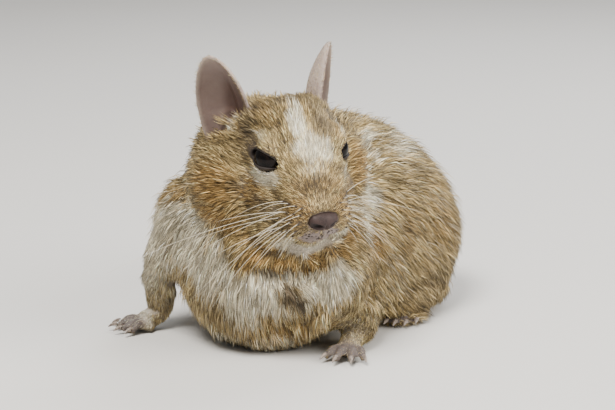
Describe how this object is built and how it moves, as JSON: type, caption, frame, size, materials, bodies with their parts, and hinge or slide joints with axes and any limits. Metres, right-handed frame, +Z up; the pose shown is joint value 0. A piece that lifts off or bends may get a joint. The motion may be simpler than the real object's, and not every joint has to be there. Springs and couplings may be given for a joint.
{
  "type": "degu, still museum model",
  "caption": "Life-size still model of a crouching degu, head turned, one forepaw reaching out, tail laid on the floor.",
  "frame": {"origin": "middle of the underside of the bounding box, on the floor", "axes": "+Z up, the degu faces -Y with its head turned a little to +X, its tail lies along +Y"},
  "size_m": [0.1078, 0.2294, 0.0881],
  "materials": {
    "coat": "matt fur",
    "bare_skin": "soft satin",
    "eye": "glossy",
    "nose_pad": "moist satin",
    "claw": "horn",
    "tail_bristle": "matt bristle"
  },
  "bodies": {
    "root": {"belly": "coat", "chest": "coat", "claw_foot_left_1": "claw", "claw_foot_left_2": "claw", "claw_foot_left_3": "claw", "claw_foot_left_4": "claw", "claw_foot_left_5": "claw", "claw_foot_right_1": "claw", "claw_foot_right_2": "claw", "claw_foot_right_3": "claw", "claw_foot_right_4": "claw", "claw_foot_right_5": "claw", "claw_hand_left_1": "claw", "claw_hand_left_2": "claw", "claw_hand_left_3": "claw", "claw_hand_left_4": "claw", "claw_hand_right_1": "claw", "claw_hand_right_2": "claw", "claw_hand_right_3": "claw", "claw_hand_right_4": "claw", "ear_left": "bare_skin", "ear_right": "bare_skin", "eye_left": "eye", "eye_right": "eye", "foot_left": "bare_skin", "foot_right": "bare_skin", "forearm_left": "coat", "forearm_right": "coat", "hand_left": "bare_skin", "hand_right": "bare_skin", "head": "coat", "neck": "coat", "nose": "nose_pad", "rump": "coat", "tail_1": "coat", "tail_2": "coat", "tail_3": "coat", "tail_brush": "tail_bristle", "thigh_left": "coat", "thigh_right": "coat", "upper_arm_left": "coat", "upper_arm_right": "coat"}
  },
  "joints": []
}
